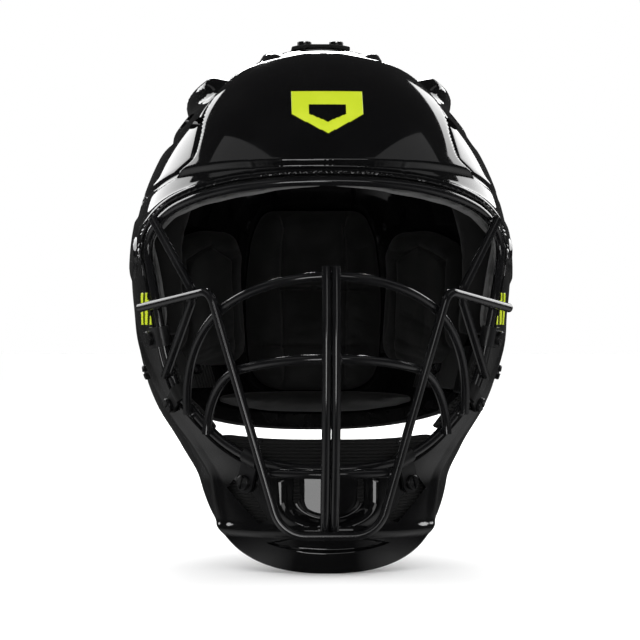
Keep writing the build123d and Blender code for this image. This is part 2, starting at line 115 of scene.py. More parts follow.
def formLevel(p, inset=0.0):
    # 1 on the form, more outside it
    wide, front, rear = sizesAt(p[:, 2], inset)
    depth = np.where(p[:, 1] < 0, front, rear)
    power = helmetForm["sectionPower"]
    level = (np.abs(p[:, 0]) / wide) ** power + (np.abs(p[:, 1]) / depth) ** power
    top = helmetForm["widestLevel"] + helmetForm["crownHeight"] - inset
    return np.where(p[:, 2] > top, 2.0, level)


def formNormals(p):
    step = 0.6
    out = np.zeros_like(p)
    for axis in range(3):
        shift = np.zeros(3)
        shift[axis] = step
        out[:, axis] = formLevel(p + shift) - formLevel(p - shift)
    return out / np.linalg.norm(out, axis=1)[:, None]


def castForm(centre, directions, inset=0.0):
    # where rays from the centre meet the form
    low = np.zeros(len(directions))
    high = np.full(len(directions), 260.0)
    for _ in range(34):
        middle = (low + high) / 2
        inside = formLevel(centre + directions * middle[:, None], inset) < 1
        low = np.where(inside, middle, low)
        high = np.where(inside, high, middle)
    return centre + directions * low[:, None]


def smoothStep(x, low, high):
    t = np.clip((x - low) / (high - low), 0, 1)
    return t * t * (3 - 2 * t)


def bump(x, width):
    return np.exp(-((x / width) ** 2))


def onForm(points, inset=0.0):
    # points of a feature line, dropped on the form towards the middle of the head
    p = np.array(points, float)
    centre = np.array([0.0, 0.0, -20.0])
    away = p - centre
    return castForm(centre, away / np.linalg.norm(away, axis=1)[:, None], inset)


def denseLine(points, count=160):
    p = np.array(points, float)
    lengths = np.concatenate([[0], np.cumsum(np.linalg.norm(np.diff(p, axis=0), axis=1))])
    even = np.linspace(0, lengths[-1], count)
    line = np.stack([np.interp(even, lengths, p[:, i]) for i in range(3)], axis=1)
    for _ in range(12):
        line[1:-1] = (line[:-2] + 2 * line[1:-1] + line[2:]) / 4
    return line


def lineDistance(p, line, sided=False):
    # distance to a line, with both halves folded to the right side, and how far along it is;
    # sided gives it a sign, positive on the line's left as seen from outside the form
    folded = p.copy()
    folded[:, 0] = np.abs(folded[:, 0])
    best = np.full(len(p), 1e9)
    place = np.zeros(len(p))
    side = np.ones(len(p))
    normals = formNormals(line)
    for i in range(len(line) - 1):
        a, run = line[i], line[i + 1] - line[i]
        t = np.clip((folded - a) @ run / (run @ run), 0, 1)
        offset = folded - a - t[:, None] * run
        d = (offset**2).sum(axis=1)
        closer = d < best
        best = np.where(closer, d, best)
        place = np.where(closer, (i + t) / (len(line) - 1), place)
        if sided:
            side = np.where(closer, np.sign(offset @ np.cross(normals[i], run)), side)
    away = np.sqrt(best)
    return (away * side, place) if sided else (away, place)


def endFade(place, share=0.12):
    return smoothStep(place, 0, share) * (1 - smoothStep(place, 1 - share, 1))


# materials and effect groups
def newGroup(name, inputs, outputs):
    tree = bpy.data.node_groups.new(name, "ShaderNodeTree")
    for label, kind, value in inputs:
        socket = tree.interface.new_socket(label, in_out="INPUT", socket_type=kind)
        if value is not None:
            socket.default_value = value
    for label, kind in outputs:
        tree.interface.new_socket(label, in_out="OUTPUT", socket_type=kind)
    return tree, tree.nodes.new("NodeGroupInput"), tree.nodes.new("NodeGroupOutput")


def addNode(tree, kind, links=None, **values):
    node = tree.nodes.new(kind)
    for key, value in values.items():
        setattr(node, key, value)
    for socket, source in (links or {}).items():
        if hasattr(source, "links"):
            tree.links.new(source, node.inputs[socket])
        else:
            node.inputs[socket].default_value = source
    return node


def placeNoise(tree, scale, detail=3.0, rough=0.5):
    place = addNode(tree, "ShaderNodeTexCoord").outputs["Object"]
    return addNode(tree, "ShaderNodeTexNoise",
                   {"Vector": place, "Scale": scale, "Detail": detail, "Roughness": rough})


def makeScuffGroup():
    # faint handling marks: a mask that is high where the surface is rubbed dull
    tree, given, result = newGroup(
        "handlingScuff",
        [("Scale", "NodeSocketFloat", 40.0), ("Low", "NodeSocketFloat", 0.45),
         ("High", "NodeSocketFloat", 0.75),
         ("Grain Scale", "NodeSocketFloat", 1400.0)],
        [("Mask", "NodeSocketFloat"), ("Grain", "NodeSocketFloat")],
    )
    place = addNode(tree, "ShaderNodeTexCoord").outputs["Object"]
    broad = addNode(tree, "ShaderNodeTexNoise",
                    {"Vector": place, "Scale": given.outputs["Scale"], "Detail": 5.0})
    fine = addNode(tree, "ShaderNodeTexNoise",
                   {"Vector": place, "Scale": given.outputs["Grain Scale"], "Detail": 2.0})
    mask = addNode(tree, "ShaderNodeMapRange", {
        "Value": broad.outputs["Fac"], "From Min": given.outputs["Low"], "From Max": given.outputs["High"]})
    tree.links.new(mask.outputs["Result"], result.inputs["Mask"])
    tree.links.new(fine.outputs["Fac"], result.inputs["Grain"])
    return tree


def makeWeaveGroup():
    # threads crossing at right angles, as a height and a colour mask
    tree, given, result = newGroup(
        "threadWeave",
        [("Threads", "NodeSocketFloat", 900.0), ("Fuzz", "NodeSocketFloat", 0.5)],
        [("Height", "NodeSocketFloat"), ("Mask", "NodeSocketFloat")],
    )
    place = addNode(tree, "ShaderNodeTexCoord").outputs["Object"]
    waves = []
    for axis in ("X", "Z"):
        wave = addNode(tree, "ShaderNodeTexWave", {
            "Vector": place, "Scale": given.outputs["Threads"], "Distortion": 1.5, "Detail": 1.0},
            bands_direction=axis)
        waves.append(wave.outputs["Fac"])
    cross = addNode(tree, "ShaderNodeMath", {0: waves[0], 1: waves[1]}, operation="MAXIMUM")
    fuzz = addNode(tree, "ShaderNodeTexNoise", {"Vector": place, "Scale": 1800.0, "Detail": 4.0})
    mixed = addNode(tree, "ShaderNodeMix", {
        0: given.outputs["Fuzz"], 2: cross.outputs[0], 3: fuzz.outputs["Fac"]}, data_type="FLOAT")
    broad = addNode(tree, "ShaderNodeTexNoise", {"Vector": place, "Scale": 60.0, "Detail": 4.0})
    tree.links.new(mixed.outputs[0], result.inputs["Height"])
    tree.links.new(broad.outputs["Fac"], result.inputs["Mask"])
    return tree


scuffGroup = makeScuffGroup()
weaveGroup = makeWeaveGroup()


def startMaterial(name):
    material = bpy.data.materials.new(name)
    material.use_nodes = True
    tree = material.node_tree
    shader = tree.nodes["Principled BSDF"]
    return material, tree, shader


def blendColours(tree, mask, dark, light):
    mix = addNode(tree, "ShaderNodeMix", {0: mask}, data_type="RGBA")
    mix.inputs[6].default_value = (*dark, 1)
    mix.inputs[7].default_value = (*light, 1)
    return mix.outputs[2]


def hardFinish(name, dark, light, smooth, dull, metal=0.0, coat=0.0, coatRough=0.05, scale=40.0, grain=0.02,
               grainScale=1400.0):
    material, tree, shader = startMaterial(name)
    scuff = addNode(tree, "ShaderNodeGroup", node_tree=scuffGroup)
    scuff.inputs["Scale"].default_value = scale
    scuff.inputs["Grain Scale"].default_value = grainScale
    mask = scuff.outputs["Mask"]
    tree.links.new(blendColours(tree, mask, dark, light), shader.inputs["Base Color"])
    rough = addNode(tree, "ShaderNodeMapRange", {"Value": mask, "To Min": smooth, "To Max": dull})
    tree.links.new(rough.outputs["Result"], shader.inputs["Roughness"])
    height = addNode(tree, "ShaderNodeBump",
                     {"Height": scuff.outputs["Grain"], "Strength": grain, "Distance": 0.0004})
    tree.links.new(height.outputs["Normal"], shader.inputs["Normal"])
    shader.inputs["Metallic"].default_value = metal
    shader.inputs["Coat Weight"].default_value = coat
    shader.inputs["Coat Roughness"].default_value = coatRough
    return material


def clothFinish(name, dark, light, threads=900.0, fuzz=0.6, strength=0.35, sheen=0.3, rough=0.9,
                distance=0.0008):
    material, tree, shader = startMaterial(name)
    weave = addNode(tree, "ShaderNodeGroup", node_tree=weaveGroup)
    weave.inputs["Threads"].default_value = threads
    weave.inputs["Fuzz"].default_value = fuzz
    worn = addNode(tree, "ShaderNodeMapRange",
                   {"Value": weave.outputs["Mask"], "From Min": 0.35, "From Max": 0.65})
    thread = addNode(tree, "ShaderNodeMath", {0: weave.outputs["Height"], 1: worn.outputs["Result"]},
                     operation="MULTIPLY")
    tree.links.new(blendColours(tree, thread.outputs[0], dark, light), shader.inputs["Base Color"])
    height = addNode(tree, "ShaderNodeBump",
                     {"Height": weave.outputs["Height"], "Strength": strength, "Distance": distance})
    tree.links.new(height.outputs["Normal"], shader.inputs["Normal"])
    shader.inputs["Roughness"].default_value = rough
    shader.inputs["Sheen Weight"].default_value = sheen
    shader.inputs["Sheen Roughness"].default_value = 0.5
    return material


def ribbedFinish(name, dark, light, axis, ribs, strength=0.8, distance=0.0012, sheen=0.03):
    # knitted ribs or woven bands across the piece
    material, tree, shader = startMaterial(name)
    weave = addNode(tree, "ShaderNodeGroup", node_tree=weaveGroup)
    weave.inputs["Threads"].default_value = 700.0
    weave.inputs["Fuzz"].default_value = 0.8
    place = addNode(tree, "ShaderNodeTexCoord").outputs["Object"]
    rib = addNode(tree, "ShaderNodeTexWave", {
        "Vector": place, "Scale": ribs, "Distortion": 1.2, "Detail": 2.0, "Detail Scale": 2.0},
        bands_direction=axis)
    both = addNode(tree, "ShaderNodeMix", {0: 0.35, 2: rib.outputs["Fac"], 3: weave.outputs["Height"]},
                   data_type="FLOAT")
    tree.links.new(blendColours(tree, both.outputs[0], dark, light), shader.inputs["Base Color"])
    height = addNode(tree, "ShaderNodeBump",
                     {"Height": both.outputs[0], "Strength": strength, "Distance": distance})
    tree.links.new(height.outputs["Normal"], shader.inputs["Normal"])
    shader.inputs["Roughness"].default_value = 0.92
    shader.inputs["Sheen Weight"].default_value = sheen
    return material


finishes = {
    "shellGloss": hardFinish("shellGloss", (0.0016, 0.0016, 0.0018), (0.0026, 0.0026, 0.0028), 0.05, 0.10,
                              coat=0.5, coatRough=0.03, grain=0.0012, grainScale=220.0),
    "wireCoat": hardFinish("wireCoat", (0.003, 0.003, 0.0034), (0.006, 0.006, 0.0065), 0.13, 0.24,
                            coat=0.5, coatRough=0.1, grain=0.06),
    "clipSatin": hardFinish("clipSatin", (0.004, 0.004, 0.0044), (0.010, 0.010, 0.0105), 0.3, 0.5,
                            grain=0.15, scale=90),
    "loopRubber": hardFinish("loopRubber", (0.003, 0.003, 0.003), (0.009, 0.009, 0.009), 0.5, 0.75,
                             grain=0.5, scale=120),
    "trimRubber": hardFinish("trimRubber", (0.003, 0.003, 0.003), (0.006, 0.006, 0.006), 0.22, 0.4,
                             grain=0.12, scale=70),
    "screwCoat": hardFinish("screwCoat", (0.02, 0.02, 0.021), (0.07, 0.07, 0.07), 0.22, 0.45, metal=0.85,
                            grain=0.2, scale=200),
    "nutSteel": hardFinish("nutSteel", (0.45, 0.45, 0.46), (0.62, 0.62, 0.64), 0.25, 0.42, metal=1.0,
                           grain=0.2, scale=200),
    "meshMatt": hardFinish("meshMatt", (0.003, 0.003, 0.003), (0.007, 0.007, 0.007), 0.5, 0.7, grain=0.2,
                           scale=90),
    "limePaint": hardFinish("limePaint", (0.50, 0.61, 0.008), (0.56, 0.66, 0.012), 0.28, 0.4, grain=0.04,
                            scale=80),
    "browFelt": clothFinish("browFelt", (0.012, 0.012, 0.012), (0.055, 0.055, 0.054), 1300, 0.85, 0.6, 0.2),
    "smoothFoam": clothFinish("smoothFoam", (0.003, 0.003, 0.003), (0.007, 0.007, 0.007), 1500, 0.5, 0.15,
                              0.03),
    "linerCloth": clothFinish("linerCloth", (0.002, 0.002, 0.002), (0.009, 0.009, 0.0088), 1100, 0.6, 0.35,
                              0.05),
    "chinKnit": ribbedFinish("chinKnit", (0.0008, 0.0008, 0.0008), (0.005, 0.005, 0.005), "Z", 170.0, 1.0,
                             0.0014),
    "elasticWeave": ribbedFinish("elasticWeave", (0.0015, 0.0015, 0.0015), (0.008, 0.008, 0.008), "Y",
                                 150.0, 0.9, 0.001),
    "webbing": ribbedFinish("webbing", (0.003, 0.003, 0.003), (0.012, 0.012, 0.012), "Y", 220.0, 0.7,
                            0.0008),
}


def paint(obj, finish):
    obj.data.materials.clear()
    obj.data.materials.append(finishes[finish])


def meshPiece(name, vertices, faces, finish, smooth=True, scale=mm):
    mesh = bpy.data.meshes.new(name)
    mesh.from_pydata([tuple(v) for v in np.asarray(vertices, float) * scale], [], faces)
    mesh.validate()
    mesh.polygons.foreach_set("use_smooth", [smooth] * len(mesh.polygons))
    obj = bpy.data.objects.new(name, mesh)
    bpy.context.scene.collection.objects.link(obj)
    paint(obj, finish)
    return obj


def applyModifiers(obj):
    bpy.context.view_layer.update()
    graph = bpy.context.evaluated_depsgraph_get()
    mesh = bpy.data.meshes.new_from_object(obj.evaluated_get(graph))
    obj.modifiers.clear()
    obj.data = mesh
    return obj


print("stage: finishes ready")

# front shell
faceOpening = {
    "outline": [
        (0.0, 60), (0.24, 59.3), (0.47, 56.5), (0.65, 52), (0.80, 45), (0.912, 30),
        (0.855, -6), (0.80, -38), (0.745, -56), (0.54, -81), (0.37, -92), (0.18, -95.5),
    ],
    "cornerShare": 0.45,
    "edgeOffset": 4.6,
}


def roundedLoop(points, share, steps=10):
    p = np.array(points, float)
    out = []
    for i in range(len(p)):
        before, here, after = p[i - 1], p[i], p[(i + 1) % len(p)]
        run = min(np.linalg.norm(here - before), np.linalg.norm(after - here)) * share
        a = here + (before - here) / np.linalg.norm(before - here) * run
        b = here + (after - here) / np.linalg.norm(after - here) * run
        for t in np.linspace(0, 1, steps):
            out.append((1 - t) ** 2 * a + 2 * t * (1 - t) * here + t**2 * b)
    return np.array(out)


def openingLoop(grow):
    # the face opening seen from the front, grown all round
    right = [(x * helmetForm["halfWidth"], z) for x, z in faceOpening["outline"]]
    loop = right + [(0, right[-1][1] - 1)] + [(-x, z) for x, z in right[:0:-1]]
    line = roundedLoop(loop, faceOpening["cornerShare"])
    following = np.roll(line, -1, axis=0) - np.roll(line, 1, axis=0)
    outward = np.stack([-following[:, 1], following[:, 0]], axis=1)
    outward /= np.linalg.norm(outward, axis=1)[:, None] + 1e-9
    return line + outward * grow


def frontY(x, z, inset=0.0):
    wide, front, _ = sizesAt(np.asarray(z, float), inset)
    side = np.clip(np.abs(x) / wide, 0, 0.9995)
    power = helmetForm["sectionPower"]
    return -front * (1 - side**power) ** (1 / power)


def openingDistance(p):
    # distance outside the opening's edge, seen from the front
    loop = openingLoop(faceOpening["edgeOffset"])
    best = np.full(len(p), 1e9)
    for x, z in loop:
        best = np.minimum(best, (p[:, 0] - x) ** 2 + (p[:, 2] - z) ** 2)
    return np.sqrt(best)


shellRelief = {
    "plateEdge": [(0, -50, 134), (25, -50, 131), (47, -45, 123.5), (63, -57, 106), (68, -80, 85),
                  (71, -88, 72),
                  (84, -78, 63), (99, -52, 56), (106, -20, 52), (108, 22, 50)],
    "plateSide": -1,
    "plateRise": 3.2,
    "shoulder": [(57, -44, 122), (66, -24, 117), (71, 0, 114), (73, 30, 111), (70, 62, 103), (62, 90, 90)],
    "shoulderRise": 7.5,
    "shoulderWidth": 9.5,
    "sideGroove": [(80, -44, 88), (88, -20, 87), (90, 10, 86), (90, 40, 84)],
    "crownRail": [(26, -44, 135), (30, -20, 138), (31, 10, 138), (29, 40, 133), (25, 75, 116)],
    "crownValley": [(42, -42, 128), (46, -20, 130), (48, 10, 130), (46, 42, 124)],
    "jawCrease": [(108, -12, -8), (99, -46, -45), (84, -66, -78), (66, -86, -112), (58, -92, -150)],
    "earPanel": [(110, -34, 22), (111, -8, 30), (110, 14, 26)],
    "chinDish": {"halfWidth": 25.0, "top": -96.0, "bottom": -127.0, "depth": 4.0, "groove": 1.6},
    "chinLens": {"halfWidth": 33.0, "middle": -137.0, "halfHeight": 5.2, "depth": 1.8},
    "ventDish": [(-42, -116, 22, 8.0, 52)],
}


def reliefAt(p):
    # how far the moulded shell stands out from the plain form, in millimetres
    r = shellRelief
    x, y, z = np.abs(p[:, 0]), p[:, 1], p[:, 2]
    total = np.zeros(len(p))
    signed, place = lineDistance(p, denseLine(onForm(r["plateEdge"])), sided=True)
    signed = signed * r["plateSide"]
    brow = openingDistance(p)
    band = 4.8 + 8.0 * (x / 90) ** 2
    plate = smoothStep(signed, -1.4, 1.4) * smoothStep(brow, band - 1.7, band + 1.7)
    total += r["plateRise"] * plate * smoothStep(z, 20, 44)
    total -= 1.6 * bump(signed + 3.2, 2.2) * smoothStep(z, 40, 60) * (y < -20)
    total += 1.3 * bump(brow - 1.4, 1.5) * smoothStep(z, 4, 22)
    away, place = lineDistance(p, denseLine(onForm(r["shoulder"])))
    ridge = np.clip(1 - away / r["shoulderWidth"], 0, 1)
    total += r["shoulderRise"] * smoothStep(ridge, 0, 0.75) * endFade(place, 0.1)
    away, place = lineDistance(p, denseLine(onForm(r["sideGroove"])))
    total -= 3.2 * bump(away, 4.2) * endFade(place)
    away, place = lineDistance(p, denseLine(onForm(r["crownRail"])))
    total += 2.6 * smoothStep(np.clip(1 - away / 6.5, 0, 1), 0, 0.7) * endFade(place, 0.15)
    away, place = lineDistance(p, denseLine(onForm(r["crownValley"])))
    total -= 2.8 * bump(away, 6.5) * endFade(place, 0.2)
    away, place = lineDistance(p, denseLine(onForm(r["earPanel"])))
    total += 1.4 * smoothStep(np.clip(1 - away / 17, 0, 1), 0, 0.3)
    away, place = lineDistance(p, denseLine(onForm(r["jawCrease"])))
    total += 1.7 * np.clip(1 - away / 7.0, 0, 1) * endFade(place, 0.2)
    front = smoothStep(-y, 70, 85) * (z < -70)
    dish = r["chinDish"]
    across = x / dish["halfWidth"]
    down = np.clip((z - dish["bottom"]) / (dish["top"] - dish["bottom"]), 0, 2)
    inside = (np.clip(1 - down * 2.2, 0, 1) ** 2 + across**2) ** 0.5
    inside = np.where(z < dish["bottom"], 1 + (dish["bottom"] - z) / dish["halfWidth"] + across * 0, inside)
    total -= front * dish["depth"] * (1 - smoothStep(inside, 0.72, 0.98))
    total -= front * dish["groove"] * bump(inside - 0.84, 0.14) * (z < dish["top"] + 6)
    total += front * 1.0 * bump(inside - 1.12, 0.13) * smoothStep(-z, 98, 104) * (z > dish["bottom"] - 6)
    lens = r["chinLens"]
    tall = lens["halfHeight"] * np.clip(1 - (x / lens["halfWidth"]) ** 2, 0.001, 1)
    shape = np.abs(z - lens["middle"]) / tall
    total -= front * lens["depth"] * (1 - smoothStep(shape, 0.6, 1.0)) * (x < lens["halfWidth"])
    for cx, cz, long, wide, turn in r["ventDish"]:
        a = math.radians(turn)
        u = (x - abs(cx)) * math.cos(a) + (z - cz) * math.sin(a)
        v = -(x - abs(cx)) * math.sin(a) + (z - cz) * math.cos(a)
        total -= front * 0.6 * bump(((u / long) ** 2 + (v / wide) ** 2) ** 0.5, 0.85)
    return total


shellMesh = {
    "columns": 620,
    "rows": 170,
    "wall": 3.5,
    "edgeRows": 5,
    "centre": (0.0, 0.0, -30.0),
    "seam": 22.0,
    "throatY": -117.9,
    "throatZ": -154.0,
    "throatSlope": 36.0,
}


def aimAt(turn, tilt):
    # direction from the middle of the head: turn about the -Y axis, tilt away from it
    return np.stack([np.sin(tilt) * np.sin(turn), -np.cos(tilt), np.sin(tilt) * np.cos(turn)], axis=-1)


def openingTilt(turns, grow):
    loop = openingLoop(grow)
    centre = np.array(shellMesh["centre"])
    points = np.stack([loop[:, 0], frontY(loop[:, 0], loop[:, 1]), loop[:, 1]], axis=1) - centre
    turn = np.arctan2(points[:, 0], points[:, 2])
    tilt = np.arctan2(np.hypot(points[:, 0], points[:, 2]), -points[:, 1])
    order = np.argsort(turn)
    turn, tilt = turn[order], tilt[order]
    turn = np.concatenate([turn - 2 * math.pi, turn, turn + 2 * math.pi])
    return np.interp(turns, turn, np.concatenate([tilt] * 3))


def borderTilt(turns):
    # where the shell ends: the seam on the crown and sides, the throat cut under the jaw
    m = shellMesh
    centre = np.array(m["centre"])
    slope = math.radians(m["throatSlope"])
    low = np.full(len(turns), 0.5)
    high = np.full(len(turns), 2.9)
    for _ in range(26):
        middle = (low + high) / 2
        p = castForm(centre, aimAt(turns, middle))
        above = -(p[:, 1] - m["throatY"]) * math.sin(slope) + (p[:, 2] - m["throatZ"]) * math.cos(slope)
        kept = (p[:, 1] < m["seam"]) & (above > 0)
        low = np.where(kept, middle, low)
        high = np.where(kept, high, middle)
    return low


def wallGrid(grid, normals, relief, wall, edgeRows):
    # outer and inner sheets joined by rounded edges along the first and the last row
    rows, columns = grid.shape[:2]
    outside = grid + normals * relief[..., None]
    inside = grid - normals * (wall - np.clip(relief, -2.5, 4) * 0.8)[..., None]
    bands = [outside]
    for end, inner in ((rows - 1, rows - 2), (0, 1)):
        away = outside[end] - outside[inner]
        away /= np.linalg.norm(away, axis=1)[:, None] + 1e-9
        middle = (outside[end] + inside[end]) / 2
        half = (outside[end] - inside[end]) / 2
        reach = np.linalg.norm(half, axis=1)[:, None] * 0.75
        arcs = []
        for step in range(1, edgeRows + 1):
            a = math.pi * step / (edgeRows + 1)
            arcs.append(middle + half * math.cos(a) + away * reach * math.sin(a))
        if end:
            bands.append(np.array(arcs))
            bands.append(inside[::-1])
        else:
            bands.append(np.array(arcs[::-1]))
    sheet = np.concatenate(bands)
    count = len(sheet)
    faces = []
    for i in range(count):
        nextRow = (i + 1) % count
        for j in range(columns):
            nextColumn = (j + 1) % columns
            faces.append((i * columns + j, nextRow * columns + j, nextRow * columns + nextColumn,
                          i * columns + nextColumn))
    return sheet.reshape(-1, 3), faces


def makeFrontShell():
    m = shellMesh
    turns = np.linspace(0, 2 * math.pi, m["columns"], endpoint=False)
    start = openingTilt(turns, faceOpening["edgeOffset"])
    end = borderTilt(turns)
    steps = np.linspace(0, 1, m["rows"])
    steps = 0.55 * steps + 0.45 * steps**2       # closer rows near the opening, where the brow steps are
    tilts = start[None, :] + (end - start)[None, :] * steps[:, None]
    allTurns = np.broadcast_to(turns, tilts.shape)
    points = castForm(np.array(m["centre"]), aimAt(allTurns, tilts).reshape(-1, 3))
    normals = formNormals(points)
    relief = reliefAt(points)
    shape = (m["rows"], m["columns"])
    sheet, faces = wallGrid(points.reshape(*shape, 3), normals.reshape(*shape, 3), relief.reshape(shape),
                            m["wall"], m["edgeRows"])
    return meshPiece("frontShellMoulding", sheet, faces, "shellGloss")


def prism(outline, low, high, matrix):
    # a straight cutter from a flat outline
    count = len(outline)
    vertices = [matrix @ Vector((u, v, low)) for u, v in outline] + [matrix @ Vector((u, v, high)) for u,
                                                                     v in outline]
    faces = [tuple(range(count))[::-1], tuple(range(count, 2 * count))]
    faces += [(i, (i + 1) % count, (i + 1) % count + count, i + count) for i in range(count)]
    return [tuple(v) for v in vertices], faces


def slotOutline(length, width, steps=8):
    run, r = (length - width) / 2, width / 2
    points = [(run + r * math.cos(a), r * math.sin(a)) for a in np.linspace(-math.pi / 2, math.pi / 2,
                                                                            steps)]
    return points + [(-u, -v) for u, v in points]


def mirroredMatrix(matrix):
    flip = Matrix.Scale(-1, 4, Vector((1, 0, 0)))
    return flip @ matrix


def cutHoles(obj, cutters):
    # all the holes in one go
    vertices, faces = [], []
    for v, f in cutters:
        shift = len(vertices)
        vertices += v
        faces += [tuple(i + shift for i in face) for face in f]
    mesh = bpy.data.meshes.new("cutter")
    mesh.from_pydata([tuple(c * mm for c in v) for v in vertices], [], faces)
    cutter = bpy.data.objects.new("cutter", mesh)
    bpy.context.scene.collection.objects.link(cutter)
    bpy.context.view_layer.objects.active = cutter
    cutter.select_set(True)
    bpy.ops.object.mode_set(mode="EDIT")
    bpy.ops.mesh.select_all(action="SELECT")
    bpy.ops.mesh.normals_make_consistent(inside=False)
    bpy.ops.object.mode_set(mode="OBJECT")
    cutter.select_set(False)
    boolean = obj.modifiers.new("holes", "BOOLEAN")
    boolean.operation = "DIFFERENCE"
    boolean.solver = "MANIFOLD"
    boolean.object = cutter
    applyModifiers(obj)
    bpy.data.objects.remove(cutter)
    obj.data.polygons.foreach_set("use_smooth", [True] * len(obj.data.polygons))
    obj.data.set_sharp_from_angle(angle=math.radians(38))


shellHoles = {
    "earSlots": [(20, -22, 22, 24), (20, -10, 16, 24), (20, 2, 10, 24)],      # tilt, y, z, length
    "earSlotWidth": 5.0,
    "crownSlots": [(0, -30, 26, 8, 0), (44, -26, 22, 8, 70)],                # x, y, length, width, turn
    "sideSlots": [(-34, 99, 17, 8), (-8, 100, 17, 8), (-60, 96, 12, 7)],     # y, z, length, width
    "chinVent": [(50, -101), (55, -108), (38, -126), (33, -124), (40, -112)],
}


def frontShellCutters():
    h = shellHoles
    cutters = []

    def addBoth(outline, low, high, matrix):
        cutters.append(prism(outline, low, high, matrix))
        cutters.append(prism(outline, low, high, mirroredMatrix(matrix)))

    for tilt, y, z, length in h["earSlots"]:
        place = Matrix.Translation((80, y, z)) @ Matrix.Rotation(math.radians(tilt), 4,
                                                                 "X") @ Matrix.Rotation(math.pi / 2, 4, "Y")
        addBoth(slotOutline(length, h["earSlotWidth"]), 0, 50, place)
    for x, y, length, width, turn in h["crownSlots"]:
        place = Matrix.Translation((x, y, 60)) @ Matrix.Rotation(math.radians(turn), 4, "Z")
        cutters.append(prism(slotOutline(length, width), 0, 120, place))
        if x:
            cutters.append(prism(slotOutline(length, width), 0, 120, mirroredMatrix(place)))
    for y, z, length, width in h["sideSlots"]:
        place = Matrix.Translation((40, y, z)) @ Matrix.Rotation(math.pi / 2, 4,
                                                                 "Y") @ Matrix.Rotation(math.pi / 2, 4, "Z")
        addBoth(slotOutline(length, width), 0, 80, place)
    place = Matrix.Rotation(math.pi / 2, 4, "X")
    addBoth(h["chinVent"], 70, 160, place)
    return cutters


frontShell = makeFrontShell()
print("stage: front shell sheet", len(frontShell.data.vertices), "points")
cutHoles(frontShell, frontShellCutters())
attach(frontShell, "front")
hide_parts("front_shell")
print("stage: front shell", len(frontShell.data.vertices), "points")

# rear shell
rearMesh = {
    "columns": 300,
    "rows": 120,
    "inset": 5.5,
    "wall": 3.0,
    "frontY": 6.0,
    "rimY": 105.4,
    "rimLevel": -85.0,
    "rimRise": 30.0,
    "rimRun": 102.0,
    "slots": [(13, 92, 22, 9), (48, 84, 22, 9), (13, 60, 14, 7)],
}


def rearRimZ(y):
    m = rearMesh
    return m["rimLevel"] - (y - m["rimY"]) * m["rimRise"] / m["rimRun"]


def makeRearShell():
    # columns run from ear to ear over the back, rows from the rim up to the crown
    m = rearMesh
    centre = np.array([0.0, m["frontY"], -20.0])
    turns = np.linspace(0, math.pi, m["columns"])
    tilts = np.linspace(0, 1, m["rows"])
    grid = np.zeros((m["rows"], m["columns"], 3))
    for j, turn in enumerate(turns):
        flat = np.array([math.cos(turn), math.sin(turn), 0])
        low, high = -1.4, 0.6
        for _ in range(24):
            middle = (low + high) / 2
            aim = flat * math.cos(middle) + np.array([0, 0, math.sin(middle)])
            p = castForm(centre, aim[None, :], m["inset"])[0]
            if p[2] > rearRimZ(p[1]):
                high = middle
            else:
                low = middle
        angles = high + (math.pi / 2 - high) * tilts
        aims = flat[None, :] * np.cos(angles)[:, None] + np.array([0, 0, 1.0])[None,
                                                                               :] * np.sin(angles)[:, None]
        grid[:, j] = castForm(centre, aims, m["inset"])
    return grid


def rearRelief(p):
    r = shellRelief
    total = np.zeros(len(p))
    behind = smoothStep(p[:, 1], 24, 34)
    away, place = lineDistance(p, denseLine(onForm(r["shoulder"], 5.5)))
    total += behind * 6.0 * smoothStep(np.clip(1 - away / 10, 0, 1), 0,
                                       0.75) * (1 - smoothStep(place, 0.8, 1))
    away, place = lineDistance(p, denseLine(onForm(r["crownRail"], 5.5)))
    total += behind * 2.6 * smoothStep(np.clip(1 - away / 6.5, 0, 1), 0,
                                       0.7) * (1 - smoothStep(place, 0.8, 1))
    spine = denseLine(onForm([(0, 70, 110), (0, 110, 60), (0, 118, 0), (0, 112, -40)], 5.5))
    away, place = lineDistance(p, spine)
    total += behind * 2.0 * (1 - smoothStep(away, 24, 27)) * endFade(place, 0.1)
    side = denseLine(onForm([(92, 34, 30), (84, 70, 10), (66, 96, -20), (40, 110, -46)], 5.5))
    away, place = lineDistance(p, side)
    total += behind * 2.2 * np.clip(1 - away / 8, 0, 1) * endFade(place, 0.15)
    return total


def makeRearShellPiece():
    m = rearMesh
    grid = makeRearShell()
    flat = grid.reshape(-1, 3)
    normals = formNormals(flat)
    normals[-m["columns"]:] = (0, 0, 1)
    relief = rearRelief(flat)
    outside = flat + normals * relief[:, None]
    inside = flat - normals * (m["wall"] - np.clip(relief, 0, 3) * 0.8)[:, None]
    rows, columns = m["rows"], m["columns"]
    vertices = np.concatenate([outside, inside])
    half = rows * columns
    faces = []
    for i in range(rows - 1):
        for j in range(columns - 1):
            a, b = i * columns + j, i * columns + j + 1
            c, d = b + columns, a + columns
            faces.append((a, b, c, d))
            faces.append((half + d, half + c, half + b, half + a))
    for i in range(rows - 1):
        for j, flip in ((0, False), (columns - 1, True)):
            a, d = i * columns + j, (i + 1) * columns + j
            face = (a, d, half + d, half + a)
            faces.append(face[::-1] if flip else face)
    for j in range(columns - 1):
        faces.append((j, half + j, half + j + 1, j + 1))
    obj = meshPiece("rearShellMoulding", vertices, faces, "shellGloss")
    weld = obj.modifiers.new("weld", "WELD")
    weld.merge_threshold = 0.00002
    applyModifiers(obj)
    cutters = []
    for x, y, length, width in m["slots"]:
        place = Matrix.Translation((x, y, 20)) @ Matrix.Rotation(math.pi / 2, 4, "Z")
        cutters.append(prism(slotOutline(length, width), 0, 160, place))
        cutters.append(prism(slotOutline(length, width), 0, 160, mirroredMatrix(place)))
    cutHoles(obj, cutters)
    return obj


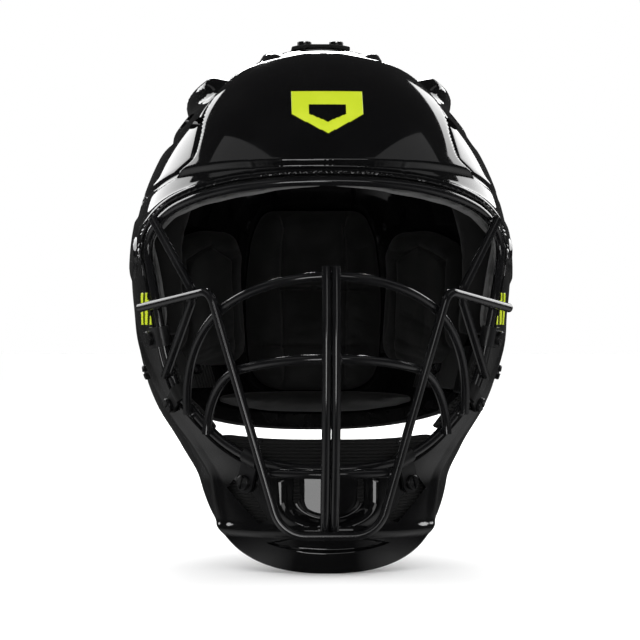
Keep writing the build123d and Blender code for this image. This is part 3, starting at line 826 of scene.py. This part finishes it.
rearShell = makeRearShellPiece()
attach(rearShell, "rear")
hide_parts("rear_shell")
print("stage: rear shell", len(rearShell.data.vertices), "points")

# hard pieces of the frame that keep their shape
keptFinish = {
    "cage_": "wireCoat",
    "chin_clip_left": "clipSatin",
    "chin_clip_right": "clipSatin",
    "side_clip_left": "clipSatin",
    "side_clip_right": "clipSatin",
    "side_loop": "loopRubber",
    "strap_slider": "clipSatin",
    "rear_rim_trim": "trimRubber",
    "vent_mesh": "meshMatt",
    "crown_strap": "webbing",
    "elastic_strap": "elasticWeave",
}
for name, obj in nodes.items():
    finish = "screwCoat" if "screws" in name else "nutSteel" if "nuts" in name else None
    for start, value in keptFinish.items():
        if name.startswith(start) and not finish:
            finish = value
    if finish:
        paint(obj, finish)


# pads
padPlan = {
    "brow_pad_right": ("browFelt", 0.8, 2.0, "front"),
    "brow_pad_left": ("browFelt", 0.8, 2.0, "front"),
    "temple_pad_right": ("smoothFoam", 0.8, 1.5, "front"),
    "temple_pad_left": ("smoothFoam", 0.8, 1.5, "front"),
    "jaw_pad_right": ("chinKnit", 0.8, 2.0, "front"),
    "jaw_pad_left": ("chinKnit", 0.8, 2.0, "front"),
    "crown_side_pad_right": ("smoothFoam", 0.8, 1.5, "front"),
    "crown_side_pad_left": ("smoothFoam", 0.8, 1.5, "front"),
    "rear_neck_roll": ("linerCloth", 1.0, 2.5, "rear"),
}
padWork = {"voxel": 3.0, "pressure": 4.0, "frames": 16, "smoothing": 6}


def inflate(obj, cap):
    # a short cloth run blows the cover up; no point moves further than cap millimetres
    rest = np.array([v.co for v in obj.data.vertices])
    cloth = obj.modifiers.new("cover", "CLOTH")
    cloth.settings.use_pressure = True
    cloth.settings.uniform_pressure_force = padWork["pressure"]
    cloth.settings.quality = 4
    cloth.settings.effector_weights.gravity = 0
    cloth.collision_settings.use_collision = False
    cloth.collision_settings.use_self_collision = False
    scene = bpy.context.scene
    for step in range(1, padWork["frames"] + 1):
        scene.frame_set(step)
    graph = bpy.context.evaluated_depsgraph_get()
    settled = obj.evaluated_get(graph).to_mesh()
    moved = np.array([v.co for v in settled.vertices])
    obj.evaluated_get(graph).to_mesh_clear()
    obj.modifiers.clear()
    scene.frame_set(1)
    shift = moved - rest
    length = np.linalg.norm(shift, axis=1)[:, None] + 1e-12
    limit = cap * mm
    shift *= limit * np.tanh(length / limit) / length
    obj.data.vertices.foreach_set("co", (rest + shift).ravel())
    obj.data.update()


def softPad(name, finish, shrink, cap):
    source = nodes[name]
    mesh = source.data.copy()
    obj = bpy.data.objects.new(name + "_cover", mesh)
    bpy.context.scene.collection.objects.link(obj)
    remesh = obj.modifiers.new("voxel", "REMESH")
    remesh.mode = "VOXEL"
    remesh.voxel_size = padWork["voxel"] * mm
    smooth = obj.modifiers.new("relax", "SMOOTH")
    smooth.iterations = padWork["smoothing"]
    smooth.factor = 0.5
    applyModifiers(obj)
    normals = np.zeros(len(obj.data.vertices) * 3)
    obj.data.vertices.foreach_get("normal", normals)
    rest = np.array([v.co for v in obj.data.vertices])
    obj.data.vertices.foreach_set("co", (rest - normals.reshape(-1, 3) * shrink * mm).ravel())
    inflate(obj, cap)
    obj.modifiers.new("fine", "SUBSURF").levels = 1
    applyModifiers(obj)
    obj.data.polygons.foreach_set("use_smooth", [True] * len(obj.data.polygons))
    paint(obj, finish)
    return obj


# Quilted liners: each outline is a run round the head (millimetres along an arc of reach) and a height.
linerPlan = {
    "rear_center_pad": {
        "outline": [(-35, -60), (35, -60), (35, -10), (31, 38), (26, 54), (-26, 54), (-31, 38), (-35, -10)],
        "turn": 0.0, "reach": 88.0, "inset": 9.2, "thickness": 17.0, "round": 13.0, "cap": 4.0,
        "body": "rear",
        "seams": [[(-18, -60), (-17, 60)], [(18, -60), (17, 60)], [(-40, 6), (40, 4)],
                  [(-40, -30), (40, -30)]],
        "finish": "linerCloth", "folds": 1.5,
    },
    "rear_side_pad_right": {
        "outline": [(36, -44), (78, -44), (98, -30), (101, 6), (88, 30), (64, 41), (43, 40), (36, 28)],
        "turn": 0.0, "reach": 88.0, "inset": 9.2, "thickness": 16.0, "round": 12.0, "cap": 4.0,
        "body": "rear",
        "seams": [[(46, -46), (45, 22), (62, 31), (84, 22), (90, -34)]],
        "finish": "linerCloth", "folds": 1.6,
    },
    "chin_pad": {
        "outline": [(-38, -134), (38, -134), (52, -126), (60, -100), (58, -82), (48, -78), (20, -80),
                    (-20, -80), (-48, -78),
                    (-58, -82), (-60, -100), (-52, -126)],
        "turn": math.pi, "reach": 85.0, "inset": 4.2, "thickness": 15.0, "round": 9.0, "cap": 2.5,
        "body": "front",
        "seams": [], "finish": "chinKnit", "folds": 0.7,
    },
    "crown_pad": {
        "outline": [(-24, 62), (24, 62), (25, 92), (-25, 92)],
        "turn": math.pi, "reach": 85.0, "inset": 4.2, "thickness": 11.0, "round": 8.0, "cap": 2.0,
        "body": "front",
        "seams": [[(-30, 78), (30, 78)]], "finish": "smoothFoam", "folds": 0.5,
    },
}
linerMesh = {"columns": 132, "rings": 26}


def linerPoints(flat, turn, reach, inset):
    # flat outline points dropped on the inside of a shell
    angle = flat[:, 0] / reach
    aim = np.stack([np.sin(angle), np.cos(angle) * math.cos(turn), np.zeros(len(flat))], axis=1)
    low, high = np.zeros(len(flat)), np.full(len(flat), 200.0)
    for _ in range(30):
        middle = (low + high) / 2
        p = aim * middle[:, None]
        p[:, 2] = flat[:, 1]
        inside = formLevel(p, inset) < 1
        low, high = np.where(inside, middle, low), np.where(inside, high, middle)
    p = aim * low[:, None]
    p[:, 2] = flat[:, 1]
    return p


def flatDistance(flat, line):
    best = np.full(len(flat), 1e9)
    for a, b in zip(line[:-1], line[1:]):
        a, run = np.array(a, float), np.array(b, float) - np.array(a, float)
        t = np.clip((flat - a) @ run / (run @ run), 0, 1)
        best = np.minimum(best, np.linalg.norm(flat - a - t[:, None] * run, axis=1))
    return best


def foldField(flat, seed):
    # soft wrinkles that run across the pad, bent by broader ones
    rng = np.random.default_rng(seed)
    total = np.zeros(len(flat))
    for _ in range(9):
        lean = rng.uniform(-0.5, 0.5)
        long = rng.uniform(9, 22)
        phase = rng.uniform(0, 6.28)
        bend = 3.5 * np.sin(flat[:, 0] / rng.uniform(11, 26) + phase)
        u = (flat[:, 1] + lean * flat[:, 0] + bend) / long
        sideways, upward = rng.uniform(-60, 90), rng.uniform(-50, 40)
        patch = np.exp(-(((flat[:, 0] - sideways) / 34) ** 2 + ((flat[:, 1] - upward) / 30) ** 2))
        total += (1 - np.abs(np.sin(u * math.pi + phase)) ** 0.6) * patch
    return total


def linerPad(name, plan, seed):
    outline = roundedLoop(plan["outline"], 0.42, 12)
    middle = outline.mean(axis=0)
    spots = np.linspace(0, len(outline), linerMesh["columns"], endpoint=False)
    closed = np.concatenate([outline, outline[:1]])
    edge = np.stack([np.interp(spots, np.arange(len(closed)), closed[:, i]) for i in range(2)], axis=1)
    shares = np.linspace(0, 1, linerMesh["rings"] + 1)[1:] ** 0.8
    flat = np.concatenate([middle[None, :]] + [middle + (edge - middle) * s for s in shares])
    depth = flatDistance(flat, list(closed))
    swell = np.sqrt(1 - (1 - np.clip(depth / plan["round"], 0, 1)) ** 2)
    back = linerPoints(flat, plan["turn"], plan["reach"], plan["inset"])
    front = linerPoints(flat, plan["turn"], plan["reach"], plan["inset"] + plan["thickness"])
    front = back + (front - back) * swell[:, None]
    backSide = back + (front - back) * 0.001
    columns, rings = linerMesh["columns"], linerMesh["rings"]
    half = len(flat)
    faces = []
    for shift, flip in ((0, False), (half, True)):
        def add(*face):
            faces.append(tuple(f + shift for f in (face[::-1] if flip else face)))
        for j in range(columns):
            k = (j + 1) % columns
            add(0, 1 + j, 1 + k)
            for i in range(rings - 1):
                a = 1 + i * columns
                add(a + j, a + columns + j, a + columns + k, a + k)
    if plan["turn"] > 1:
        faces = [face[::-1] for face in faces]
    obj = meshPiece(name + "_cover", np.concatenate([backSide, front]), faces, plan["finish"])
    weld = obj.modifiers.new("weld", "WELD")
    weld.merge_threshold = 0.0001
    applyModifiers(obj)
    build = bmesh.new()
    build.from_mesh(obj.data)
    bmesh.ops.recalc_face_normals(build, faces=build.faces)
    build.to_mesh(obj.data)
    build.free()
    inflate(obj, plan["cap"])
    obj.modifiers.new("fine", "SUBSURF").levels = 1
    applyModifiers(obj)
    finishLiner(obj, plan, seed)
    return obj


def finishLiner(obj, plan, seed):
    # seams pull the cover in and the cloth folds between them, on the side that touches the head
    co = np.zeros(len(obj.data.vertices) * 3)
    normal = np.zeros(len(obj.data.vertices) * 3)
    obj.data.vertices.foreach_get("co", co)
    obj.data.vertices.foreach_get("normal", normal)
    co, normal = co.reshape(-1, 3) / mm, normal.reshape(-1, 3)
    facing = math.cos(plan["turn"])
    angle = np.arctan2(co[:, 0], co[:, 1] * facing) * plan["reach"]
    flat = np.stack([angle, co[:, 2]], axis=1)
    inward = smoothStep(-(normal[:, 0] * co[:, 0] + normal[:, 1] * co[:, 1]) / np.hypot(co[:, 0], co[:, 1]),
                        0.1, 0.6)
    shift = -plan["folds"] * foldField(flat, seed)
    for seam in plan["seams"]:
        away = flatDistance(flat, seam)
        shift -= 3.0 * bump(away, 1.3) + 1.5 * bump(away, 5.0)
    co += normal * (shift * inward)[:, None]
    obj.data.vertices.foreach_set("co", (co * mm).ravel())
    obj.data.update()
    obj.data.polygons.foreach_set("use_smooth", [True] * len(obj.data.polygons))


def mirroredPiece(source, name):
    mesh = source.data.copy()
    mesh.transform(Matrix.Scale(-1, 4, Vector((1, 0, 0))))
    mesh.flip_normals()
    obj = bpy.data.objects.new(name, mesh)
    bpy.context.scene.collection.objects.link(obj)
    return obj


pads = {}


def keepPad(obj, name, body):
    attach(obj, body)
    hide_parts(name)
    pads[name] = obj


for seed, (name, plan) in enumerate(linerPlan.items()):
    keepPad(linerPad(name, plan, 20 + seed), name, plan["body"])
keepPad(mirroredPiece(pads["rear_side_pad_right"], "rear_side_pad_left_cover"), "rear_side_pad_left",
        "rear")
for name, (finish, shrink, cap, body) in padPlan.items():
    keepPad(softPad(name, finish, shrink, cap), name, body)
print("stage: pads", len(pads))


def strapCover(name, finish):
    mesh = nodes[name].data.copy()
    obj = bpy.data.objects.new(name + "_webbing", mesh)
    bpy.context.scene.collection.objects.link(obj)
    remesh = obj.modifiers.new("split", "REMESH")
    remesh.mode = "VOXEL"
    remesh.voxel_size = 0.0008
    applyModifiers(obj)
    obj.data.polygons.foreach_set("use_smooth", [True] * len(obj.data.polygons))
    paint(obj, finish)
    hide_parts(name)
    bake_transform(obj)
    return obj


for side in ("left", "right"):
    strapCover("elastic_strap_" + side, "elasticWeave")
strapCover("crown_strap", "webbing")
print("stage: straps")

# weld beads of the cage
weldBead = {"radius": 1.5, "segments": 12}


def treeOf(obj):
    return BVHTree.FromPolygons([v.co for v in obj.data.vertices],
                                [tuple(p.vertices) for p in obj.data.polygons])


def weldPlaces():
    cage = [n for n in nodes if n.startswith("cage_")]
    trees = {n: treeOf(nodes[n]) for n in cage}
    places = []
    for i, a in enumerate(cage):
        for b in cage[i + 1:]:
            pairs = trees[a].overlap(trees[b])
            spots = []
            for fa, _ in pairs:
                centre = nodes[a].data.polygons[fa].center
                for spot in spots:
                    if (spot["sum"] / spot["count"] - centre).length < 0.008:
                        spot["sum"] += centre
                        spot["count"] += 1
                        break
                else:
                    spots.append({"sum": centre.copy(), "count": 1})
            places += [spot["sum"] / spot["count"] for spot in spots]
    return places


def beadMesh():
    rng = np.random.default_rng(11)
    vertices, faces = [], []
    for place in weldPlaces():
        shift = len(vertices)
        rings, segments = 8, weldBead["segments"]
        size = weldBead["radius"] * (0.9 + 0.35 * rng.random())
        for i in range(rings + 1):
            tilt = math.pi * i / rings
            for j in range(segments):
                turn = 2 * math.pi * j / segments
                v = Vector((math.sin(tilt) * math.cos(turn), math.sin(tilt) * math.sin(turn),
                            math.cos(tilt)))
                v *= size * (1 + 0.12 * math.sin(3 * turn + 5 * size) * math.sin(tilt))
                vertices.append(place / mm + Vector((v.x * 1.9, v.y * 1.2, v.z * 1.3)))
        for i in range(rings):
            for j in range(segments):
                k = (j + 1) % segments
                faces.append((shift + i * segments + j, shift + (i + 1) * segments + j,
                              shift + (i + 1) * segments + k, shift + i * segments + k))
    return vertices, faces


beadVertices, beadFaces = beadMesh()
beads = meshPiece("cageWeldBeads", beadVertices, beadFaces, "wireCoat")
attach(beads, "front")
print("stage: weld beads")

# painted shapes on the shell
emblem = {"width": 40.0, "height": 25.0, "middle": 99.0, "lift": 0.25, "cells": 56}
sideMark = {"middleY": -62.0, "middleZ": -9.0, "width": 26.0, "height": 20.0}


def insideEmblem(u, v):
    # a home-plate outline with a smaller plate cut out of it
    def plate(u, v, w, h):
        top = v < h
        side = abs(u) < w
        point = v > -h + (abs(u) / w) * h * 0.9
        return top and side and point
    return plate(u, v, 1.0, 1.0) and not plate(u, v + 0.05, 0.52, 0.42)


def insideBars(u, v):
    # three slanted bars
    s = u + v * 0.35
    return abs(v) < 0.9 and any(abs(s - c) < 0.16 for c in (-0.62, 0.0, 0.62))


def markMesh(name, inside, toPoint, aim, cells):
    # small cells dropped on the shell; kept where the outline says
    shell = treeOf(frontShell)
    vertices, index, faces = [], {}, []

    def vertexAt(i, j):
        if (i, j) not in index:
            origin = toPoint(-1.1 + 2.2 * i / cells, -1.1 + 2.2 * j / cells)
            hit, normal, _, _ = shell.ray_cast(origin, aim)
            if hit is None:
                return None
            if normal.dot(aim) > 0:
                normal = -normal
            index[(i, j)] = len(vertices)
            vertices.append((hit - aim * emblem["lift"] * mm) / mm)
        return index[(i, j)]

    for i in range(cells):
        for j in range(cells):
            u, v = -1.1 + 2.2 * (i + 0.5) / cells, -1.1 + 2.2 * (j + 0.5) / cells
            if inside(u, v):
                face = [vertexAt(i, j), vertexAt(i + 1, j), vertexAt(i + 1, j + 1), vertexAt(i, j + 1)]
                if None not in face:
                    faces.append(face)
    obj = meshPiece(name, vertices, faces, "limePaint")
    solid = obj.modifiers.new("film", "SOLIDIFY")
    solid.thickness = 0.00025
    applyModifiers(obj)
    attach(obj, "front")
    return obj


def emblemPoint(u, v):
    return Vector((u * emblem["width"] / 2 * mm, -0.3, (emblem["middle"] + v * emblem["height"] / 2) * mm))


markMesh("foreheadEmblem", insideEmblem, emblemPoint, Vector((0, 1, 0)), emblem["cells"])
for sign, side in ((1, "Right"), (-1, "Left")):
    def sidePoint(u, v):
        return Vector((sign * 0.3, (sideMark["middleY"] + u * sideMark["width"] / 2) * mm,
                       (sideMark["middleZ"] + v * sideMark["height"] / 2) * mm))
    markMesh("sideBars" + side, insideBars, sidePoint, Vector((-sign, 0, 0)), 44)
print("stage: marks")

# floor, camera and lights
studio = {
    "cameraDistance": 1.5,
    "cameraTurn": -2.3,
    "cameraHeight": -0.0153,
    "lens": 143.25,
    "floorDrop": 0.0005,
    "background": 1.0,
    "fill": 1.12,
    "gloss": 0.03,
    "lowGlow": 0.45,
}


def aimed(obj, target):
    obj.rotation_euler = (Vector(target) - obj.location).to_track_quat("-Z", "Y").to_euler()


def areaLight(name, place, target, width, height, power, colour=(1, 1, 1)):
    data = bpy.data.lights.new(name, "AREA")
    data.shape = "RECTANGLE"
    data.size, data.size_y = width, height
    data.energy = power
    data.color = colour
    obj = bpy.data.objects.new(name, data)
    obj.location = place
    bpy.context.scene.collection.objects.link(obj)
    aimed(obj, target)
    return obj


def floorMaterial():
    material, tree, shader = startMaterial("paleFloor")
    noise = placeNoise(tree, 3.0)
    tree.links.new(blendColours(tree, noise.outputs["Fac"], (0.97, 0.97, 0.97), (0.99, 0.99, 0.99)),
                   shader.inputs["Base Color"])
    shader.inputs["Roughness"].default_value = 0.85
    return material


floorLevel = cadBox[0][2] - studio["floorDrop"]
floorMesh = bpy.data.meshes.new("studioFloor")
floorMesh.from_pydata([(-6, -6, floorLevel), (6, -6, floorLevel), (6, 9, floorLevel), (-6, 9, floorLevel)],
                      [], [(0, 1, 2, 3)])
floorMesh.materials.append(floorMaterial())
floor = bpy.data.objects.new("studioFloor", floorMesh)
bpy.context.scene.collection.objects.link(floor)

turn = math.radians(studio["cameraTurn"])
camera = bpy.data.objects.new("camera", bpy.data.cameras.new("camera"))
camera.location = (math.sin(turn) * studio["cameraDistance"], -math.cos(turn) * studio["cameraDistance"],
                   studio["cameraHeight"])
camera.data.lens = studio["lens"]
camera.data.sensor_width = 36
camera.data.clip_end = 60
bpy.context.scene.collection.objects.link(camera)
aimed(camera, (0, 0, studio["cameraHeight"]))
bpy.context.scene.camera = camera

for side, name in ((-1, "left"), (1, "right")):
    areaLight(name + "Bank", (side * 1.7, 1.45, 1.0), (0, 0, 0.1), 1.7, 1.3, 22)
    areaLight(name + "Top", (side * 0.85, -0.5, 1.1), (0, -0.05, 0.05), 1.3, 0.42, 0.5)
areaLight("backBank", (0, 2.2, 1.25), (0, 0, 0.1), 0.9, 0.9, 26)
areaLight("frontStrip", (-0.35, -2.2, -0.30), (0, -0.1, -0.1), 0.85, 0.8, 8)
areaLight("frontSoft", (0.35, -2.4, 0.5), (0, -0.1, 0), 1.0, 0.8, 3)

world = bpy.data.worlds.new("studioWorld")
bpy.context.scene.world = world
world.use_nodes = True
tree = world.node_tree
back = tree.nodes["Background"]
back.inputs["Color"].default_value = (1, 1, 1, 1)
seen = addNode(tree, "ShaderNodeLightPath")
way = addNode(tree, "ShaderNodeSeparateXYZ", {0: addNode(tree, "ShaderNodeTexCoord").outputs["Generated"]})
sideways = addNode(tree, "ShaderNodeMath", {0: way.outputs["X"]}, operation="ABSOLUTE")
aside = addNode(tree, "ShaderNodeMapRange",
                {"Value": sideways.outputs[0], "From Min": 0.35, "From Max": 0.85})
below = addNode(tree, "ShaderNodeMapRange", {
    "Value": way.outputs["Z"], "From Min": -0.55, "From Max": -0.05, "To Min": 1.0, "To Max": 0.0})
lowGlow = addNode(tree, "ShaderNodeMath", {0: aside.outputs["Result"], 1: below.outputs["Result"]},
                  operation="MULTIPLY")
gloss = addNode(tree, "ShaderNodeMath", {0: lowGlow.outputs[0], 1: studio["lowGlow"], 2: studio["gloss"]},
                operation="MULTIPLY_ADD")
level = addNode(tree, "ShaderNodeMix", {
    0: seen.outputs["Is Glossy Ray"], 2: studio["fill"], 3: gloss.outputs[0]}, data_type="FLOAT")
shown = addNode(tree, "ShaderNodeMix", {
    0: seen.outputs["Is Camera Ray"], 2: level.outputs[0], 3: studio["background"]}, data_type="FLOAT")
tree.links.new(shown.outputs[0], back.inputs["Strength"])
floor.visible_glossy = False
bpy.context.scene.view_settings.view_transform = "Standard"
print("stage: studio")
